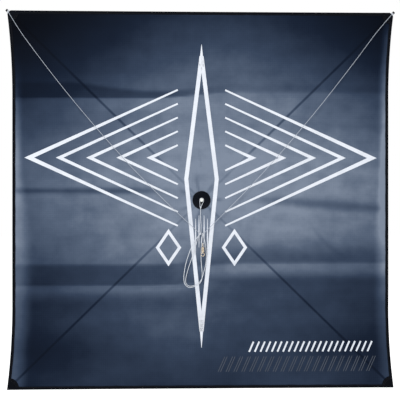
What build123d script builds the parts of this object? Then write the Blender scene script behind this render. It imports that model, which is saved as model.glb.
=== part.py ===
"""Flat square kite: one stretched sail, four spars in a hub, and a three-leg bridle.

Frame: millimetres. The kite stands upright, +X to the right and +Z up, as seen from its front, which faces -Y.
The origin is the centre of the hub's flat back face. A "depth" is a distance in front of that face, along -Y.
A "reach" is a distance from the hub's centre along a spar.
"""

from build123d import *
from math import atan2, cos, degrees, hypot, radians, sin, tan
import os

os.makedirs("parts", exist_ok=True)

# ---------------------------------------------------------------- driving dimensions
sail_width = 914.0  # corner to corner, 36 inches
sail_height = 891.0
side_hollow = 12.5  # how far the left and right edges stand in from the corners
side_straight = 0.55  # the share of those edges, about their middle, that is straight
end_hollow = 0.5  # how far the top and bottom edges curve in at their middle
top_corner_cut = 9.0  # the sail's top corners are cut off, to clear the spar tips
bottom_corner_cut = 1.0
sail_thickness = 0.3
cloth = 0.3  # binding tape
patch_cloth = 0.4
binding_width = 7.0
front_patch_radius = 28.0
back_patch_radius = 36.0

spar_diameter = 4.5
cap_wall = 0.75
socket_depth = 12.0
spar_travel = 12.0  # a spar slides out this far to leave its socket
running_clearance = 0.05

hub_radius = 17.0
hub_thickness = 9.6
disc_radius = 21.5
leg_diameter = 1.2  # cord of the bridle's legs, the nooses and the loop on the post
loop_diameter = 1.5  # cord of the tow loop and the swivel's hitch

# ---------------------------------------------------------------- derived dimensions
half_width = sail_width / 2
half_height = sail_height / 2
corner_reach = hypot(half_width, half_height)
spar_angle = atan2(half_height, half_width)
spar_radius = spar_diameter / 2
cap_radius = spar_radius + cap_wall
leg_radius = leg_diameter / 2
loop_radius = loop_diameter / 2

sail_depth = hub_thickness + patch_cloth  # the sail's back face
sail_front = sail_depth + sail_thickness
spar_set_back = 4.3
spar_depth = sail_depth - spar_set_back  # a spar's centre line, behind the sail
front_patch_depth = sail_front + cloth
back_patch_depth = sail_depth - cloth - patch_cloth

socket_bottom = 14.0
socket_mouth = socket_bottom + socket_depth
socket_wall = 1.3
socket_wall_radius = spar_radius + socket_wall
spar_foot = socket_bottom + running_clearance

corners = {
    "top_left": (-1, 1),
    "top_right": (1, 1),
    "bottom_left": (-1, -1),
    "bottom_right": (1, -1),
}


def front(depth):
    """Plane parallel to the sail, facing forwards: its x is +X and its y is +Z."""
    return Plane.XZ.offset(depth)


def spar_plane(side, up, reach):
    """Plane square to one spar: its x points forwards and its z points out along the spar."""
    outwards = (side * cos(spar_angle), 0, up * sin(spar_angle))
    origin = (outwards[0] * reach, -spar_depth, outwards[2] * reach)
    return Plane(origin=origin, x_dir=(0, -1, 0), z_dir=outwards)


def save(part, name):
    """Label a finished piece and write it."""
    part.label = name
    export_step(part, f"parts/{name}.step")


# ---------------------------------------------------------------- sail
def sail_face(depth, grow=0.0):
    """The sail's outline, moved outwards by grow: hollow edges and cut corners."""
    x = half_width + grow
    z = half_height + grow
    waist = x - side_hollow
    bend = side_straight * half_height
    with BuildSketch(front(depth)) as face:
        with BuildLine():
            for up in (1, -1):
                ThreePointArc((-x, up * z), (0, up * (z - end_hollow)), (x, up * z))
            for side in (1, -1):
                Line((side * waist, bend), (side * waist, -bend))
                for up in (1, -1):
                    TangentArc((side * waist, up * bend), (side * x, up * z), tangent=(0, up))
        make_face()
        chamfer(face.vertices().group_by(Axis.Y)[-1], top_corner_cut)
        chamfer(face.vertices().group_by(Axis.Y)[0], bottom_corner_cut)
    return face.sketch


stem_radius = 4.0

with BuildPart() as sail:
    extrude(sail_face(sail_depth), amount=sail_thickness)
    with BuildSketch(front(sail_depth)):
        Circle(stem_radius)
    extrude(amount=sail_thickness, mode=Mode.SUBTRACT)
save(sail.part, "sail")


# ---------------------------------------------------------------- edge bindings
def make_binding(mitre):
    """One edge's folded tape: a U over the sail's edge, mitred where it meets its neighbours."""
    with BuildPart() as binding:
        extrude(sail_face(sail_depth - cloth, cloth), amount=sail_thickness + 2 * cloth)
        extrude(
            sail_face(sail_depth - cloth, -binding_width),
            amount=sail_thickness + 2 * cloth,
            mode=Mode.SUBTRACT,
        )
        extrude(sail_face(sail_depth), amount=sail_thickness, mode=Mode.SUBTRACT)
        with BuildSketch(front(0)):
            with BuildLine():
                Polyline((0, 0), *mitre, close=True)
            make_face()
        extrude(amount=2 * sail_depth, mode=Mode.INTERSECT)
    return binding.part


far_x = sail_width
far_z = sail_height
bindings = {
    "binding_top": ((far_x, far_z), (-far_x, far_z)),
    "binding_bottom": ((-far_x, -far_z), (far_x, -far_z)),
    "binding_left": ((-far_x, far_z), (-far_x, -far_z)),
    "binding_right": ((far_x, -far_z), (far_x, far_z)),
}
for name, mitre in bindings.items():
    save(make_binding(mitre), name)


# ---------------------------------------------------------------- corner patches, sleeves and pockets
def make_corner_patch(side, up):
    """Quarter round of strong cloth on the front of one corner, over the bindings."""
    with BuildPart() as patch:
        extrude(sail_face(front_patch_depth, cloth), amount=patch_cloth)
        with BuildSketch(front(front_patch_depth)):
            with Locations((side * half_width, up * half_height)):
                Circle(front_patch_radius)
        extrude(amount=patch_cloth, mode=Mode.INTERSECT)
    return patch.part


def make_tunnel_patch(side, up, inner_radius, outer_end, bore_end):
    """Quarter round of cloth behind one corner, with a tunnel along the spar sewn on it."""
    mouth = corner_reach - back_patch_radius
    outer_radius = inner_radius + 2 * cloth
    foot = spar_depth - back_patch_depth - patch_cloth  # from the spar's line to the patch's front face
    with BuildPart() as tunnel:
        extrude(sail_face(back_patch_depth, cloth), amount=patch_cloth)
        with BuildSketch(front(back_patch_depth)):
            with Locations((side * half_width, up * half_height)):
                Circle(back_patch_radius)
        extrude(amount=patch_cloth, mode=Mode.INTERSECT)
        with BuildSketch(spar_plane(side, up, mouth)):
            Circle(outer_radius)
            with Locations((-foot / 2, 0)):
                Rectangle(-foot, 2 * outer_radius)
        extrude(amount=outer_end - mouth)
        with BuildSketch(spar_plane(side, up, mouth)):
            Circle(inner_radius)
        extrude(amount=bore_end - mouth, mode=Mode.SUBTRACT)
    return tunnel.part


sleeve_clearance = 0.4
sleeve_radius = spar_radius + sleeve_clearance
sleeve_end = corner_reach - 8.5
pocket_clearance = 0.35
pocket_radius = cap_radius + pocket_clearance
pocket_end = corner_reach - 5.5
pocket_end_wall = 1.0
pocket_bottom = pocket_end - pocket_end_wall

for name, (side, up) in corners.items():
    save(make_corner_patch(side, up), f"corner_patch_{name}")
    if up > 0:
        save(make_tunnel_patch(side, up, sleeve_radius, sleeve_end, sleeve_end), f"spar_sleeve_{name}")
    else:
        save(make_tunnel_patch(side, up, pocket_radius, pocket_end, pocket_bottom), f"spar_pocket_{name}")

# ---------------------------------------------------------------- spars and their end caps
top_cap_start = corner_reach - 1.0
top_cap_end = corner_reach + 3.8
bottom_cap_length = 12.0
end_clearance = 0.3
bottom_cap_end = pocket_bottom - spar_travel - end_clearance
cap_end_wall = 1.5
spar_chamfer = 0.3
cap_rounding = 1.2


def make_spar(side, up, tip):
    """Solid round rod from its socket to inside its end cap."""
    with BuildPart() as spar:
        with BuildSketch(spar_plane(side, up, spar_foot)):
            Circle(spar_radius)
        extrude(amount=tip - spar_foot)
        chamfer(spar.edges().filter_by(GeomType.CIRCLE), spar_chamfer)
    return spar.part


def make_cap(side, up, start, end):
    """Moulded cap pushed over a spar's outer end, rounded at its tip."""
    with BuildPart() as cap:
        with BuildSketch(spar_plane(side, up, start)):
            Circle(cap_radius)
        extrude(amount=end - start)
        tip_edge = cap.edges().sort_by_distance((0, 0, 0))[-1]
        fillet(tip_edge, cap_rounding)
        with BuildSketch(spar_plane(side, up, start)):
            Circle(spar_radius)
        extrude(amount=end - start - cap_end_wall, mode=Mode.SUBTRACT)
    return cap.part


for name, (side, up) in corners.items():
    cap_start = top_cap_start if up > 0 else bottom_cap_end - bottom_cap_length
    cap_end = top_cap_end if up > 0 else bottom_cap_end
    save(make_spar(side, up, cap_end - cap_end_wall), f"spar_{name}")
    save(make_cap(side, up, cap_start, cap_end), f"spar_cap_{name}")

# ---------------------------------------------------------------- hub
hub_edge_rounding = 2.0
socket_root = 2.0  # how far a socket's wall runs on into the hub
centre_patch_radius = disc_radius - 1.0
stem_foot = 1.5
disc_rim = 1.2
disc_dome = 2.6
disc_edge_rounding = 0.4
post_hole_radius = 1.5
post_hole_depth = 8.0
post_foot_gap = 0.5

with BuildPart() as hub_body:
    with BuildSketch(front(0)):
        Circle(hub_radius)
    extrude(amount=hub_thickness)
    fillet(hub_body.edges().group_by(Axis.Y)[-1], hub_edge_rounding)
    for side, up in corners.values():
        with BuildSketch(spar_plane(side, up, socket_bottom - socket_root)):
            Circle(socket_wall_radius)
        extrude(amount=socket_depth + socket_root)
    for side, up in corners.values():
        with BuildSketch(spar_plane(side, up, socket_bottom)):
            Circle(spar_radius + running_clearance)
        extrude(amount=socket_depth, mode=Mode.SUBTRACT)
    with BuildSketch(front(stem_foot)):
        Circle(stem_radius)
    extrude(amount=hub_thickness - stem_foot, mode=Mode.SUBTRACT)
save(hub_body.part, "hub_body")

with BuildPart() as centre_patch:
    with BuildSketch(front(hub_thickness)):
        Circle(centre_patch_radius)
        Circle(stem_radius, mode=Mode.SUBTRACT)
    extrude(amount=patch_cloth)
save(centre_patch.part, "centre_patch")

disc_face = sail_front + disc_rim + disc_dome
dome_radius = (disc_radius**2 + disc_dome**2) / (2 * disc_dome)

with BuildPart() as hub_disc:
    with BuildSketch(Plane.XY):
        with BuildLine():
            Line((0, -stem_foot), (stem_radius, -stem_foot))
            Line((stem_radius, -stem_foot), (stem_radius, -sail_front))
            Line((stem_radius, -sail_front), (disc_radius, -sail_front))
            Line((disc_radius, -sail_front), (disc_radius, -sail_front - disc_rim))
            RadiusArc((disc_radius, -sail_front - disc_rim), (0, -disc_face), dome_radius)
            Line((0, -disc_face), (0, -stem_foot))
        make_face()
    revolve(axis=Axis.Y)
    rim_edges = hub_disc.edges().filter_by(GeomType.CIRCLE).sort_by(SortBy.RADIUS)[-2:]
    fillet(rim_edges, disc_edge_rounding)
    with BuildSketch(front(disc_face - post_hole_depth)):
        Circle(post_hole_radius)
    extrude(amount=post_hole_depth, mode=Mode.SUBTRACT)
save(hub_disc.part, "hub_disc")

post_neck_radius = 2.2
post_neck_length = 3.6
post_head_radius = 4.4
post_head_height = 3.2
post_head_rounding = 2.4

with BuildPart() as line_post:
    with BuildSketch(front(disc_face - post_hole_depth + post_foot_gap)):
        Circle(post_hole_radius)
    extrude(amount=post_hole_depth - post_foot_gap)
    with BuildSketch(front(disc_face)):
        Circle(post_neck_radius)
    extrude(amount=post_neck_length)
    with BuildSketch(front(disc_face + post_neck_length)):
        Circle(post_head_radius)
    extrude(amount=post_head_height)
    fillet(line_post.edges().group_by(Axis.Y)[0], post_head_rounding)
save(line_post.part, "line_post")


# ---------------------------------------------------------------- cords
arc_share = 0.45  # the part of a run that the arc at one of its ends may take


def spread_radii(points):
    """The radius of each corner's arc: as large as its share of the shorter run allows."""
    radii = []
    for before, corner, after in zip(points, points[1:], points[2:]):
        incoming = corner - before
        outgoing = after - corner
        half_turn = radians(incoming.get_angle(outgoing) / 2)
        radii.append(arc_share * min(incoming.length, outgoing.length) / tan(half_turn))
    return radii


def make_cord(name, route, radius, radii=None):
    """A plain tube of cord along straight runs joined by tangent arcs. Route points are (x, depth, z)."""
    points = [Vector(x, -depth, z) for x, depth, z in route]
    radii = radii or spread_radii(points)
    with BuildPart() as cord:
        with BuildLine() as path:
            FilletPolyline(*points, radius=radii)
        with BuildSketch(path.line ^ 0):
            Circle(radius)
        sweep()
    section = Circle(radius, mode=Mode.PRIVATE).area
    length = path.wire().length
    share = cord.part.volume / (section * length)
    print(f"{name}: length {length:.1f}, volume/(section x length) {share:.4f}, radii", [round(r) for r in radii])
    save(cord.part, name)


def make_knot(name, x, depth, z, radius, length):
    """A tied knot's outer shape: a short round barrel, upright."""
    with BuildPart(Plane((x, -depth, z))) as knot:
        Cylinder(radius, length)
        fillet(knot.edges().filter_by(GeomType.CIRCLE), knot_rounding * radius)
    save(knot.part, name)


knot_rounding = 0.8
noose_clearance = 0.3
noose_ring_radius = spar_radius + noose_clearance + leg_radius
noose_half_spread = 0.94 * leg_radius  # the two turns press together
noose_knot_radius = 1.9
noose_reach = corner_reach - 3.3
noose_knot_depth = spar_depth + noose_ring_radius + noose_knot_radius
leg_start_depth = noose_knot_depth + 1.0
noose_x = noose_reach * cos(spar_angle)
noose_z = noose_reach * sin(spar_angle)

for name, side in (("noose_left", -1), ("noose_right", 1)):
    with BuildPart(spar_plane(side, 1, noose_reach)) as noose:
        with Locations((0, 0, -noose_half_spread), (0, 0, noose_half_spread)):
            Torus(noose_ring_radius, leg_radius)
        with Locations((noose_knot_depth - spar_depth, 0, 0)):
            Sphere(noose_knot_radius)
    save(noose.part, name)

left_knot = (-2.8, 15.0, -79.5)
right_knot = (2.9, 15.0, -80.5)
centre_knot = (-2.3, 15.8, -17.3)

bridle_leg_left = [
    (-noose_x, leg_start_depth, noose_z),
    (-429, 15, 403),
    (-398, 16, 358),
    (-367, 16, 316),
    (-334, 16, 273),
    (-301, 16, 232),
    (-268, 16, 192),
    (-236, 16, 155),
    (-202, 16, 117),
    (-168, 16, 80),
    (-136, 16, 46),
    (-102, 16, 11),
    (-66, 16, -24),
    (-33, 16, -54),
    left_knot,
]
bridle_leg_right = [
    (noose_x, leg_start_depth, noose_z),
    (426, 15, 403),
    (395, 16, 362),
    (361, 16, 318),
    (331, 16, 280),
    (297, 16, 238),
    (265, 16, 199),
    (230, 16, 158),
    (198, 16, 121),
    (163, 16, 82),
    (130, 16, 46),
    (98, 16, 12),
    (63, 16, -24),
    (30, 16, -56),
    right_knot,
]
bridle_leg_centre = [
    centre_knot,
    (-2.9, 16.3, -32),
    (-2.0, 16.2, -48),
    (-0.8, 15.8, -64),
    (-1.8, 15.2, -78),
]
tow_loop_front = [
    (-2.8, 16.0, -79.5),
    (-10.0, 17.4, -87.0),
    (-19.0, 18.0, -100.0),
    (-25.5, 18.0, -114.0),
    (-31.0, 18.0, -129.0),
    (-36.5, 18.0, -146.0),
    (-40.5, 18.0, -165.0),
    (-42.5, 18.0, -184.0),
    (-40.5, 18.0, -198.0),
    (-31.0, 18.0, -206.5),
    (-19.0, 18.0, -204.5),
    (-7.0, 18.0, -199.0),
    (0.5, 18.0, -189.5),
    (1.6, 18.0, -175.0),
    (0.0, 18.0, -158.0),
    (-1.4, 18.0, -141.0),
    (-1.5, 18.0, -123.0),
    (0.0, 17.6, -107.0),
    (0.8, 16.2, -93.0),
    (2.5, 15.0, -82.5),
]
tow_loop_back = [
    (-2.8, 14.0, -80.0),
    (-8.5, 14.0, -87.0),
    (-11.5, 14.2, -100.0),
    (-16.0, 14.4, -115.0),
    (-21.0, 14.4, -131.0),
    (-27.0, 14.4, -148.0),
    (-33.0, 14.4, -166.0),
    (-37.3, 14.4, -183.0),
    (-38.0, 14.4, -196.0),
    (-30.0, 14.4, -203.5),
    (-18.5, 14.4, -202.0),
    (-6.5, 14.4, -196.0),
    (1.5, 14.4, -185.0),
    (5.0, 14.4, -170.0),
    (9.5, 14.4, -154.0),
    (11.6, 14.4, -137.0),
    (10.8, 14.4, -120.0),
    (9.2, 14.4, -104.0),
    (6.6, 14.6, -91.5),
    (3.9, 15.0, -82.0),
]

make_cord("bridle_leg_left", bridle_leg_left, leg_radius)
make_cord("bridle_leg_right", bridle_leg_right, leg_radius)
make_cord("bridle_leg_centre", bridle_leg_centre, leg_radius)
make_cord("tow_loop_front", tow_loop_front, loop_radius)
make_cord("tow_loop_back", tow_loop_back, loop_radius)

loop_depth = disc_face + 0.5 * post_neck_length
loop_bend = 2.75
centre_loop = [
    (-3.4, loop_depth, -15.8),
    (-3.2, loop_depth, 3.2),
    (4.3, loop_depth, 3.2),
    (-1.3, loop_depth, -15.8),
]
make_cord("centre_loop", centre_loop, leg_radius, [loop_bend, loop_bend])

knot_length = 6.0
junction_knot_radius = 2.6
centre_knot_radius = 2.0
make_knot("knot_left", *left_knot, junction_knot_radius, knot_length)
make_knot("knot_right", *right_knot, junction_knot_radius, knot_length)
make_knot("knot_centre", *centre_knot, centre_knot_radius, knot_length)

# ---------------------------------------------------------------- barrel swivel on its hitch
wire_radius = 0.85
eye_inner_radius = 3.1
eye_ring_radius = eye_inner_radius + wire_radius
eye_outer_radius = eye_ring_radius + wire_radius
barrel_radius = 3.5
barrel_length = 12.0
barrel_wall = 1.2
barrel_rounding = 1.4
barrel_room = 0.4  # round an eye's head, inside the barrel
head_radius = 2.0
head_length = 1.2
hitch_gap = 0.15  # between the hitch and the inside of the upper eye
end_gap = 0.5  # between an eye and the barrel
head_gap = 0.15  # between an eye's head and the inside of the barrel's end wall

swivel_x = 2.5
swivel_depth = 24.0
swing_z = -103.0  # the hitch cord's centre line, where the upper eye hangs
upper_eye_z = swing_z + loop_radius + hitch_gap - eye_inner_radius
barrel_top = upper_eye_z - eye_outer_radius - end_gap
barrel_bottom = barrel_top - barrel_length
lower_eye_z = barrel_bottom - end_gap - eye_outer_radius


def swivel_at(z):
    """Level plane at height z on the swivel's long axis."""
    return Plane((swivel_x, -swivel_depth, z))


hitch_half_gap = 3.3
hitch_long_bend = 12.0
hitch_short_bend = 2.9
hitch = [
    (1.7, 17.0, -81.5),
    (swivel_x - hitch_half_gap, 21.5, -92.0),
    (swivel_x - hitch_half_gap, swivel_depth, swing_z),
    (swivel_x + hitch_half_gap, swivel_depth, swing_z),
    (swivel_x + hitch_half_gap, 21.5, -92.0),
    (4.2, 17.0, -81.5),
]
hitch_bends = [hitch_long_bend, hitch_short_bend, hitch_short_bend, hitch_long_bend]
make_cord("swivel_hitch", hitch, loop_radius, hitch_bends)


def make_eye(ring_z, hole_direction, shank_top, shank_bottom, head_z):
    """Wire eye with a straight shank and a round head that stays inside the barrel."""
    ring_turn = (0, 90, 0) if hole_direction == "X" else (90, 0, 0)
    with BuildPart() as eye:
        with Locations((swivel_x, -swivel_depth, ring_z)):
            Torus(eye_ring_radius, wire_radius, rotation=ring_turn)
        with BuildSketch(swivel_at(shank_bottom)):
            Circle(wire_radius)
        extrude(amount=shank_top - shank_bottom)
        with BuildSketch(swivel_at(head_z)):
            Circle(head_radius)
        extrude(amount=head_length)
    return eye.part


upper_head_z = barrel_top - barrel_wall - head_gap - head_length
lower_head_z = barrel_bottom + barrel_wall + head_gap
upper_ring_bottom = upper_eye_z - eye_ring_radius
lower_ring_top = lower_eye_z + eye_ring_radius
upper_eye = make_eye(upper_eye_z, "X", upper_ring_bottom, upper_head_z, upper_head_z)
lower_eye = make_eye(lower_eye_z, "Y", lower_head_z, lower_ring_top, lower_head_z)
save(upper_eye, "swivel_upper_eye")
save(lower_eye, "swivel_lower_eye")

with BuildPart() as swivel_barrel:
    with BuildSketch(swivel_at(barrel_bottom)):
        Circle(barrel_radius)
    extrude(amount=barrel_length)
    fillet(swivel_barrel.edges().filter_by(GeomType.CIRCLE), barrel_rounding)
    with BuildSketch(swivel_at(barrel_bottom + barrel_wall)):
        Circle(head_radius + barrel_room)
    extrude(amount=barrel_length - 2 * barrel_wall, mode=Mode.SUBTRACT)
    with BuildSketch(swivel_at(barrel_bottom)):
        Circle(wire_radius + running_clearance)
    extrude(amount=barrel_length, mode=Mode.SUBTRACT)
save(swivel_barrel.part, "swivel_barrel")
print(f"swing z {swing_z:.3f}, upper eye {upper_eye_z:.3f}, lower eye {lower_eye_z:.3f}")
print(f"spar angle {degrees(spar_angle):.3f}, swivel bottom {lower_eye_z - eye_outer_radius:.2f}")
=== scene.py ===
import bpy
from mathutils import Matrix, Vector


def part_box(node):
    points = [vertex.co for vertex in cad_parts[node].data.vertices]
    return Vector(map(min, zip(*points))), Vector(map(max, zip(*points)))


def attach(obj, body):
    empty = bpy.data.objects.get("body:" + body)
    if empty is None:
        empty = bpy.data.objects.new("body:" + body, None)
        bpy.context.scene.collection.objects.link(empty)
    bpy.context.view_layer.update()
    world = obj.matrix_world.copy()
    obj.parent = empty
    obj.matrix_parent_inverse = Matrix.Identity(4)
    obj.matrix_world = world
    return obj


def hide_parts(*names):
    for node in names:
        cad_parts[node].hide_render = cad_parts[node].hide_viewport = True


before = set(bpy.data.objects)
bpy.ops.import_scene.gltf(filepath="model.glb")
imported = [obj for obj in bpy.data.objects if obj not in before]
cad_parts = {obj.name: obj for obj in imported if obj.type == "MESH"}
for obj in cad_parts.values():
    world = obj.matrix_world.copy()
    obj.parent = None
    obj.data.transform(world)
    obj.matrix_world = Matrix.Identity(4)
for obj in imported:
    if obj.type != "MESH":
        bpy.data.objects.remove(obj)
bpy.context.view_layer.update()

import math

import bpy
import numpy as np
from mathutils import Vector
from mathutils.bvhtree import BVHTree

MM = 0.001
KITE = "kite"  # the body that everything but the spars and the swivel rides on

# ---- places, from the frame
sail_low, sail_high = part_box("sail")
disc_low, disc_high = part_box("hub_disc")
rod_low, rod_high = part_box("spar_top_right")
half_width = sail_high.x
half_height = sail_high.z
sail_y = (sail_low.y + sail_high.y) / 2
side_hollow = 12.5 * MM
side_straight = 0.55
end_hollow = 0.5 * MM
spar_angle = math.atan2(half_height, half_width)
spar_y = (rod_low.y + rod_high.y) / 2
disc_radius = (disc_high.x - disc_low.x) / 2
leg_radius = 0.6 * MM
loop_radius = 0.75 * MM
binding_width = 7 * MM


# ---- small helpers
def ease(value, start, end):
    """0 before start, 1 after end, and an S curve between, for numbers or arrays."""
    share = np.clip((value - start) / (end - start), 0, 1)
    return share * share * (3 - 2 * share)


def hump(value, middle, width):
    """1 at the middle, falling away smoothly on both sides of it."""
    return np.exp(-((value - middle) / width) ** 2)


def add_object(name, data):
    """A new object in the scene, made of this mesh, curve, camera or light."""
    made = bpy.data.objects.new(name, data)
    bpy.context.scene.collection.objects.link(made)
    return made


def add_mesh(name, points, faces, material):
    """A new smooth mesh in the CAD frame, riding on the kite."""
    mesh = bpy.data.meshes.new(name)
    mesh.from_pydata([tuple(p) for p in points], [], [tuple(int(i) for i in f) for f in faces])
    mesh.validate()
    mesh.polygons.foreach_set("use_smooth", [True] * len(mesh.polygons))
    mesh.materials.append(material)
    piece = add_object(name, mesh)
    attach(piece, KITE)
    return piece


def grid_faces(rows, columns, wrap=False):
    """Quads over a grid of points stored row by row; wrap joins the last column to the first."""
    faces = []
    last = columns if wrap else columns - 1
    for row in range(rows - 1):
        for column in range(last):
            after = (column + 1) % columns
            faces.append((row * columns + column, row * columns + after,
                          (row + 1) * columns + after, (row + 1) * columns + column))
    return faces


def numbered_from(start, faces):
    """The same faces, for points that are stored after start others."""
    return [tuple(start + i for i in face) for face in faces]


# ---- material helpers
class Shader:
    """One material's node tree, with short calls for the nodes that are used here."""

    def __init__(self, name, roughness, specular=0.5, metallic=0.0):
        self.material = bpy.data.materials.new(name)
        self.material.use_nodes = True
        self.tree = self.material.node_tree
        self.surface = self.tree.nodes["Principled BSDF"]
        self.surface.inputs["Roughness"].default_value = roughness
        self.surface.inputs["Specular IOR Level"].default_value = specular
        self.surface.inputs["Metallic"].default_value = metallic

    def node(self, kind, **inputs):
        node = self.tree.nodes.new(kind)
        for name, value in inputs.items():
            self.set(node.inputs[name.replace("_", " ")], value)
        return node

    def set(self, socket, value):
        """Link a socket to another, or give it a value."""
        if isinstance(value, bpy.types.NodeSocket):
            self.tree.links.new(value, socket)
        else:
            socket.default_value = value

    def math(self, operation, first, second=0.0, third=0.0):
        node = self.tree.nodes.new("ShaderNodeMath")
        node.operation = operation
        for socket, value in zip(node.inputs, (first, second, third)):
            self.set(socket, value)
        return node.outputs[0]

    def place(self):
        """The point on the object, in the CAD frame."""
        return self.node("ShaderNodeTexCoord").outputs["Object"]

    def x_and_z(self, place):
        """How far a place is to the right, and up."""
        parts = self.node("ShaderNodeSeparateXYZ", Vector=place)
        return parts.outputs[0], parts.outputs[2]

    def noise(self, vector, scale, detail=3.0, rough=0.5):
        node = self.node("ShaderNodeTexNoise", Vector=vector, Scale=scale, Detail=detail, Roughness=rough)
        return node.outputs["Fac"]

    def stripes(self, along, pitch):
        """A soft wave from 0 to 1 that repeats every pitch metres."""
        angle = self.math("MULTIPLY", along, 2 * math.pi / pitch)
        return self.math("MULTIPLY_ADD", self.math("SINE", angle), 0.5, 0.5)

    def map(self, value, low, high, to_low, to_high, smooth=False):
        node = self.tree.nodes.new("ShaderNodeMapRange")
        node.interpolation_type = "SMOOTHSTEP" if smooth else "LINEAR"
        for socket, number in zip(node.inputs, (value, low, high, to_low, to_high)):
            self.set(socket, number)
        return node.outputs[0]

    def ramp(self, value, stops):
        node = self.tree.nodes.new("ShaderNodeValToRGB")
        self.set(node.inputs[0], value)
        while len(node.color_ramp.elements) < len(stops):
            node.color_ramp.elements.new(0.5)
        for element, (position, colour) in zip(node.color_ramp.elements, stops):
            element.position = position
            element.color = (*colour, 1)
        return node.outputs[0]

    def colour(self, level, stops):
        """The base colour, from a level and the colours at places along it."""
        self.set(self.surface.inputs["Base Color"], self.ramp(level, stops))

    def rough(self, level, to_low, to_high, low=0.3, high=0.7):
        """Roughness from to_low to to_high as the level goes from low to high."""
        self.set(self.surface.inputs["Roughness"], self.map(level, low, high, to_low, to_high))

    def bump(self, height, strength, distance):
        node = self.node("ShaderNodeBump", Height=height, Strength=strength, Distance=distance)
        self.set(self.surface.inputs["Normal"], node.outputs[0])


# ---- camera
camera_data = bpy.data.cameras.new("camera")
camera_data.lens = 85
camera = add_object("camera", camera_data)
view_width = 0.9455  # width of the scene that fills the frame, at the sail
camera_distance = view_width * camera_data.lens / camera_data.sensor_width
camera_turn = math.radians(1.87)  # the camera stands this far round to the kite's left
camera_target = Vector((-3.6 * MM, sail_y, 0.3 * MM))
camera_back = Vector((-math.sin(camera_turn), -math.cos(camera_turn), 0))
camera.location = camera_target + camera_back * camera_distance
camera.rotation_euler = (math.pi / 2, 0, -camera_turn)
bpy.context.scene.camera = camera


# ---- the sail's shape
creases = (0.2405, 0.0185, -0.2034)  # heights of the folds it was packed along
crease_forward = (-1.3 * MM, -0.8 * MM, 1.2 * MM)  # how far each stands forward of the flat
fold_x = -2.6 * MM  # the upright fold
fold_climb = 16 * MM  # how much higher the upper and lower folds' shadows are on the right
deepest_dip = 1.6 * MM
highest_billow = 2.6 * MM
painted_wrinkle_shades = [  # where each painted wrinkle shade starts and ends, its width, and how much painted shade it lays on the cloth (a negative amount paints it paler)
    (0.127, -0.03, 0.109, -0.115, 2.4 * MM, 0.28),
    (0.112, -0.018, 0.098, -0.07, 5 * MM, -0.1),
    (-0.001, 0.08, -0.004, 0.33, 3.2 * MM, 0.3),
    (-0.3, -0.012, -0.09, -0.034, 5 * MM, 0.16),
    (-0.41, -0.238, -0.16, -0.228, 6 * MM, 0.14),
    (0.05, -0.262, 0.3, -0.244, 6 * MM, 0.12),
    (0.2, 0.2, 0.41, 0.176, 5 * MM, 0.14),
    (0.09, 0.305, 0.36, 0.322, 9 * MM, 0.12),
    (-0.38, 0.315, -0.16, 0.3, 9 * MM, 0.12),
    (-0.33, 0.13, -0.2, 0.165, 4 * MM, 0.12),
    (0.26, -0.06, 0.34, -0.135, 5 * MM, 0.12),
    (-0.2, -0.11, -0.3, -0.165, 5 * MM, 0.13),
]


def edge_x(z):
    """Half the sail's width at height z: straight about the middle, curving out to the corners."""
    bend = side_straight * half_height
    beyond = np.maximum(np.abs(z) - bend, 0) / (half_height - bend)
    return half_width - side_hollow * (1 - beyond**2)


def edge_z(x):
    """Half the sail's height at x."""
    return half_height - end_hollow * (1 - (x / half_width) ** 2)


def sail_forward(x, z):
    """How far the cloth stands in front of the flat, from folds, billows and pull lines."""
    forward = np.zeros_like(x)
    for height, rise in zip(creases, crease_forward):
        wander = height + 2 * MM * np.sin(x / 0.09)
        uneven = 0.75 + 0.25 * np.cos(x / 0.11 + 40 * height)
        forward += rise * np.exp(-np.abs(z - wander) / (22 * MM)) * uneven
    forward += 0.5 * MM * np.exp(-np.abs(x - fold_x) / (16 * MM)) * ease(z, -0.05, 0.1)
    forward += 0.9 * MM * np.sin(z / 0.034 + 1.2 * np.sin(x / 0.16)) * ease(-z, 0.05, 0.2)
    forward += 0.7 * MM * np.sin(z / 0.041 - 0.9 * np.sin(x / 0.2 + 1.0)) * ease(z, 0.02, 0.15)
    forward += 0.6 * MM * np.sin(x / 0.07 + z / 0.16 + 1.7)
    across = np.abs(x) * math.sin(spar_angle) - np.abs(z) * math.cos(spar_angle)
    along = np.hypot(x, z)
    forward -= 0.7 * MM * hump(across, 0, 9 * MM)
    pull = np.sin(across / 0.013) * np.exp(-np.abs(across) / 0.03)
    forward += 0.5 * MM * pull * ease(along, 0.3, 0.5)
    near_hub = hump(along, 0.05, 0.035)
    forward += 0.55 * MM * near_hub * np.sin(9 * np.arctan2(z, x) + 25 * along)
    inside = np.minimum(edge_x(z) - np.abs(x), edge_z(x) - np.abs(z))
    from_corner = np.hypot(half_width - np.abs(x), half_height - np.abs(z))
    held = ease(inside, 7 * MM, 55 * MM) * ease(along, disc_radius, disc_radius + 22 * MM)
    held *= ease(from_corner, 38 * MM, 75 * MM)
    return np.clip(forward, -deepest_dip, highest_billow) * held


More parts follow.
